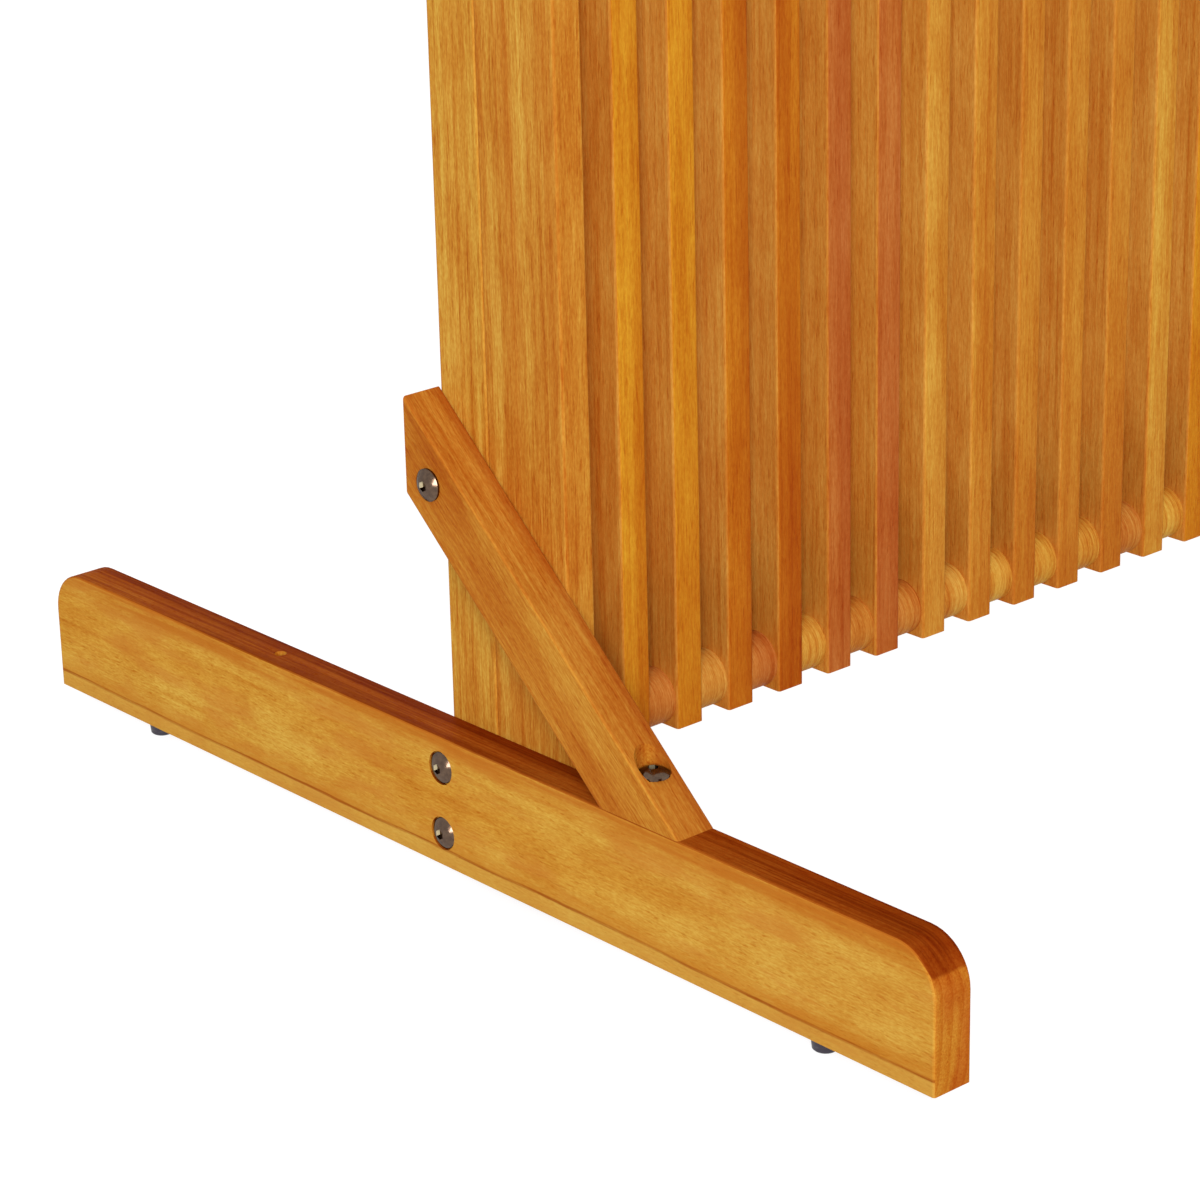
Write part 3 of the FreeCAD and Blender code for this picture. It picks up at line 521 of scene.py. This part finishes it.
def dress_spacers():
    """Discs cut from boards laid on edge: their layers show as hoops round the rims."""
    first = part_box("left_end_board")[1].x
    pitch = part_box(SLATS[1])[0].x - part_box(SLATS[0])[0].x
    for row, level in enumerate(LEVELS):
        name = f"{level}_spacers"
        low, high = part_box(name)
        middle = (low + high) / 2
        material, graph, shader = new_material(f"{name}_wood")
        place = graph.split(graph.place())
        past_first = graph.math("SUBTRACT", place["X"], first)
        index = graph.math("FLOOR", graph.math("DIVIDE", past_first, pitch))
        tones = graph.node("ValToRGB", {
            "Fac": graph.math("DIVIDE", graph.math("ADD", index, 0.5), len(DISC_TONES))})
        stops = tones.color_ramp
        stops.interpolation = "CONSTANT"
        for number in range(len(DISC_TONES)):
            tone = DISC_TONES[(number + ROW_SHIFT * row) % len(DISC_TONES)]
            stop = stops.elements[0] if number == 0 else stops.elements.new(
                number / len(DISC_TONES))
            stop.color = (tone, tone, tone, 1.0)
        stops.elements.remove(stops.elements[-1])
        colours = [graph.mix(tones.outputs[0], srgb(light), srgb(dark))
                   for light, dark in zip(TIMBERS["honey"], TIMBERS["rose"])]
        round_rim = graph.math("MULTIPLY", graph.math(
            "ARCTAN2", graph.math("SUBTRACT", place["Z"], middle.z),
            graph.math("SUBTRACT", middle.y, place["Y"])), (high.z - low.z) / 2)
        layers = graph.weighted(0.0, (place["X"], LAYER_SPREAD), (index, DISC_STEP))
        grain = graph.join(layers, DISC_OFF_PITH, graph.math("ADD", round_rim, DISC_ALONG + row))
        finish_wood(graph, shader, grain, grain_facing(graph, ACROSS), colours, length=1.0,
                    figure=1.4, edge_highlight=0.4)
        dress(material, name)


# ---------------------------------------------------------------- metal and plastic

# the radius of a bolt's head, and a radius that holds the walls of its socket
HEAD_RADIUS = 0.0085
SOCKET_REACH = 0.0032

# the common colour of a metal and the colour that it is rubbed to, in sRGB steps
BOLT_SKIN = ((80, 60, 46), (100, 78, 60))
ZINC_SKIN = ((176, 176, 172), (206, 206, 200))
# a pale colour painted on one pair of each socket's walls as a painted highlight
SOCKET_WALL_HIGHLIGHT = (232, 218, 178)
PAD_BLACK = (38, 30, 44)
PAD_SCUFF = (92, 86, 90)

# what two walls of each upright bolt's socket face, the walls that carry the painted
# highlight; these sockets are turned by 30 degrees
TURNED_WALL = (0.5, 0.866, 0.0)


def socket_share(graph, axis, wall, spots):
    """Where the surface is a wall of a hexagon socket that faces along a direction.

    The sockets' axes go through the spots.
    """
    place, normal = graph.place(), graph.normal()
    plane = tuple(1.0 - part for part in axis)
    share = 0.0
    for spot in spots:
        off = graph.vector("MULTIPLY", graph.vector("SUBTRACT", place, spot), plane)
        near = graph.ramp(graph.vector("LENGTH", off), SOCKET_REACH, SOCKET_REACH - 0.0001)
        share = graph.math("MAXIMUM", near, share)
    facing = graph.math("ABSOLUTE", graph.vector("DOT_PRODUCT", normal, wall))
    return graph.math("MULTIPLY", share, graph.ramp(facing, 0.85, 0.95))


def dress_metal(name, skin, roughness, nodes, rim=1.0, film=0.0, wall_highlight=1.0, sockets=None):
    """Metal with a mottled skin, rubbed brighter in patches, and a fine grain.

    Rim is how bright it gets at a glancing angle and film how much clear lacquer is on it.
    Sockets are what socket_share takes, for socket walls painted pale and matt as a painted
    highlight, and scrape is how pale those walls are.
    """
    material, graph, shader = new_material(name)
    place = graph.place()
    mottle = graph.ramp(graph.noise(place, (0.0025,) * 3, 4.0, 0.6), 0.35, 0.70)
    grit = graph.noise(place, (0.0004,) * 3, 3.0)
    tint = graph.mix(mottle, *(srgb(colour) for colour in skin))
    if sockets is not None:
        # painted highlight: socket walls that face one way are made pale and matt
        lit_wall = graph.math("MULTIPLY", socket_share(graph, *sockets), wall_highlight)
        tint = graph.mix(lit_wall, tint, srgb(SOCKET_WALL_HIGHLIGHT))
        graph.feed(shader.inputs["Metallic"], graph.math("MULTIPLY_ADD", lit_wall, -0.9, 1.0))
    else:
        shader.inputs["Metallic"].default_value = 1.0
    graph.feed(shader.inputs["Base Color"], tint)
    shader.inputs["Specular Tint"].default_value = (rim, rim, rim, 1.0)
    shader.inputs["Coat Weight"].default_value = film
    shader.inputs["Coat Roughness"].default_value = 0.12
    rough = graph.weighted(roughness, (mottle, -0.02), (grit, 0.06))
    graph.feed(shader.inputs["Roughness"], rough)
    bump = graph.node("Bump", {"Height": grit, "Strength": 0.03, "Distance": 0.0001})
    graph.feed(shader.inputs["Normal"], bump.outputs[0])
    dress(material, *nodes)


def dress_plastic(*nodes):
    """Moulded black plastic with a violet cast, finely grained and scuffed below."""
    material, graph, shader = new_material("glide_plastic")
    place = graph.place()
    grain = graph.noise(place, (0.0006,) * 3, 3.0)
    scuff = graph.ramp(graph.noise(place, (0.004, 0.004, 0.002), 3.0), 0.52, 0.75)
    height = graph.split(place)["Z"]
    scuff = graph.math("MULTIPLY", scuff, graph.ramp(height, 0.006, 0.001))
    colour = graph.mix(graph.math("MULTIPLY", scuff, 0.6), srgb(PAD_BLACK), srgb(PAD_SCUFF))
    graph.feed(shader.inputs["Base Color"], colour)
    graph.feed(shader.inputs["Roughness"], graph.weighted(0.34, (grain, 0.2)))
    bump = graph.node("Bump", {"Height": grain, "Strength": 0.15, "Distance": 0.0001})
    graph.feed(shader.inputs["Normal"], bump.outputs[0])
    dress(material, *nodes)


def dress_bolts(name, axis, wall, spots, wall_highlight=1.0):
    """A group of domed bolts in dark lacquered metal."""
    dress_metal(f"{name}_metal", BOLT_SKIN, 0.17, [name], rim=0.35, film=0.5, wall_highlight=wall_highlight,
                sockets=(axis, wall, spots))


def dress_fittings():
    """Gives the bolts, nuts, screws, rods and glides their metal and plastic."""
    low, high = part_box("foot_bolts")
    lower, upper = low.z + HEAD_RADIUS, high.z - HEAD_RADIUS
    dress_bolts("foot_bolts", ALONG_X, ALONG_Y, [(0.0, 0.0, lower), (0.0, 0.0, upper)])
    low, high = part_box("brace_post_bolts")
    dress_bolts("brace_post_bolts", ALONG_X, ALONG_Y, [(low + high) / 2])
    low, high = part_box("brace_foot_bolts")
    middle = (low.y + high.y) / 2
    dress_bolts("brace_foot_bolts", ALONG_Z, TURNED_WALL,
                [(low.x + HEAD_RADIUS, middle, 0.0), (high.x - HEAD_RADIUS, middle, 0.0)],
                wall_highlight=0.45)
    stems = sorted(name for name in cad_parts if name.endswith("_glide_stem"))
    rods = [f"{level}_rod" for level in LEVELS]
    dress_metal("zinc_metal", ZINC_SKIN, 0.28,
                ["post_insert_nuts", "barrel_nuts", "rail_screws", "glide_insert_nuts",
                 *rods, *stems])
    dress_plastic(*sorted(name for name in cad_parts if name.endswith("_glide_pad")))


# ---------------------------------------------------------------- floor, light, camera


def seen_directly(graph):
    """1 for rays from the camera, and for what gloss and glass show."""
    path = graph.node("LightPath").outputs
    seen = graph.math("MAXIMUM", path["Is Camera Ray"], path["Is Glossy Ray"])
    return graph.math("MAXIMUM", seen, path["Is Transmission Ray"])


# the floor: half its width, the grey that throws light back, and what is seen of it, a grey
# that takes the shadows and a glow that brings it up to white
FLOOR_REACH = 30.0
FLOOR_GREY = 0.60
FLOOR_SHADED = 0.28
FLOOR_GLOW = 0.87

SKY_LEVEL = 0.48


def grey(level):
    """A grey as the linear colour that a socket takes."""
    return (level, level, level, 1.0)


def make_floor():
    """A pale floor that reads as white and keeps a light shadow under the feet."""
    mesh = bpy.data.meshes.new("floor")
    corners = [(x * FLOOR_REACH, y * FLOOR_REACH, 0.0)
               for x, y in ((-1, -1), (1, -1), (1, 1), (-1, 1))]
    mesh.from_pydata(corners, [], [(0, 1, 2, 3)])
    floor = bpy.data.objects.new("floor", mesh)
    bpy.context.scene.collection.objects.link(floor)
    material = bpy.data.materials.new("floor_paint")
    material.use_nodes = True
    material.node_tree.nodes.clear()
    graph = Graph(material.node_tree)
    paint = graph.node("BsdfDiffuse", {"Color": grey(FLOOR_GREY)})
    shaded = graph.node("BsdfDiffuse", {"Color": grey(FLOOR_SHADED)})
    glow = graph.node("Emission", {"Color": grey(1.0), "Strength": FLOOR_GLOW})
    shown = graph.node("AddShader")
    graph.feed(shown.inputs[0], shaded.outputs[0])
    graph.feed(shown.inputs[1], glow.outputs[0])
    both = graph.node("MixShader", {"Fac": seen_directly(graph)})
    graph.feed(both.inputs[1], paint.outputs[0])
    graph.feed(both.inputs[2], shown.outputs[0])
    output = graph.node("OutputMaterial")
    graph.feed(output.inputs["Surface"], both.outputs[0])
    mesh.materials.append(material)


def make_world():
    """An even grey sky for light, shown as white where it is seen."""
    world = bpy.data.worlds.new("studio")
    world.use_nodes = True
    world.node_tree.nodes.clear()
    graph = Graph(world.node_tree)
    light = graph.node("Background", {"Color": grey(1.0), "Strength": SKY_LEVEL})
    white = graph.node("Background", {"Color": grey(1.0), "Strength": 1.0})
    both = graph.node("MixShader", {"Fac": seen_directly(graph)})
    graph.feed(both.inputs[1], light.outputs[0])
    graph.feed(both.inputs[2], white.outputs[0])
    output = graph.node("OutputWorld")
    graph.feed(output.inputs["Surface"], both.outputs[0])
    bpy.context.scene.world = world


def add_lamp(name, place, target, width, height, power, lights=True, shines=True):
    """A softbox turned to a target.

    Lights is whether it lights rough surfaces, and shines whether glossy ones show it.
    """
    light = bpy.data.lights.new(name, "AREA")
    light.shape = "RECTANGLE"
    light.size = width
    light.size_y = height
    light.energy = power
    lamp = bpy.data.objects.new(name, light)
    lamp.location = place
    lamp.visible_camera = False
    lamp.visible_diffuse = lights
    lamp.visible_glossy = shines
    lamp.rotation_euler = (Vector(target) - Vector(place)).to_track_quat("-Z", "Y").to_euler()
    bpy.context.scene.collection.objects.link(lamp)


def make_lamps():
    """A key light from the camera's side, a fill from behind, and a card that bolts reflect."""
    add_lamp("key_softbox", (-5.74, -6.48, 3.68), (-0.3, 0.0, 0.6), 3.2, 3.2, 690.0)
    add_lamp("rear_softbox", (5.2, 6.6, 1.5), (0.0, 0.0, 0.8), 3.2, 3.2, 420.0, shines=False)
    add_lamp("shine_card", (-2.9, -0.72, 0.66), (-0.46, 0.0, 0.25), 0.75, 1.25, 48.0,
             lights=False)


# the camera looks from the front left, and from above, at the left foot
CAMERA_PLACE = Vector((-1.581, -1.410, 0.841))
CAMERA_BEARING = math.radians(41.04)
CAMERA_DIP = math.radians(20.92)
CAMERA_ROLL = math.radians(-1.36)
LENS = 114.48
SENSOR = 36.0


def make_camera():
    """A camera at its place, turned by its bearing, its dip and its roll."""
    ahead = Vector((math.sin(CAMERA_BEARING) * math.cos(CAMERA_DIP),
                    math.cos(CAMERA_BEARING) * math.cos(CAMERA_DIP), -math.sin(CAMERA_DIP)))
    level = Vector((math.cos(CAMERA_BEARING), -math.sin(CAMERA_BEARING), 0.0))
    upward = level.cross(ahead)
    right = math.cos(CAMERA_ROLL) * level + math.sin(CAMERA_ROLL) * upward
    above = right.cross(ahead)
    camera = bpy.data.objects.new("camera", bpy.data.cameras.new("camera"))
    camera.data.lens = LENS
    camera.data.sensor_width = SENSOR
    camera.matrix_world = Matrix((
        (right.x, above.x, -ahead.x, CAMERA_PLACE.x),
        (right.y, above.y, -ahead.y, CAMERA_PLACE.y),
        (right.z, above.z, -ahead.z, CAMERA_PLACE.z),
        (0.0, 0.0, 0.0, 1.0),
    ))
    bpy.context.scene.collection.objects.link(camera)
    bpy.context.scene.camera = camera


# ---------------------------------------------------------------- scene

dress_timber()
dress_spacers()
dress_fittings()
make_floor()
make_world()
make_lamps()
make_camera()
bpy.context.scene.view_settings.view_transform = "Standard"
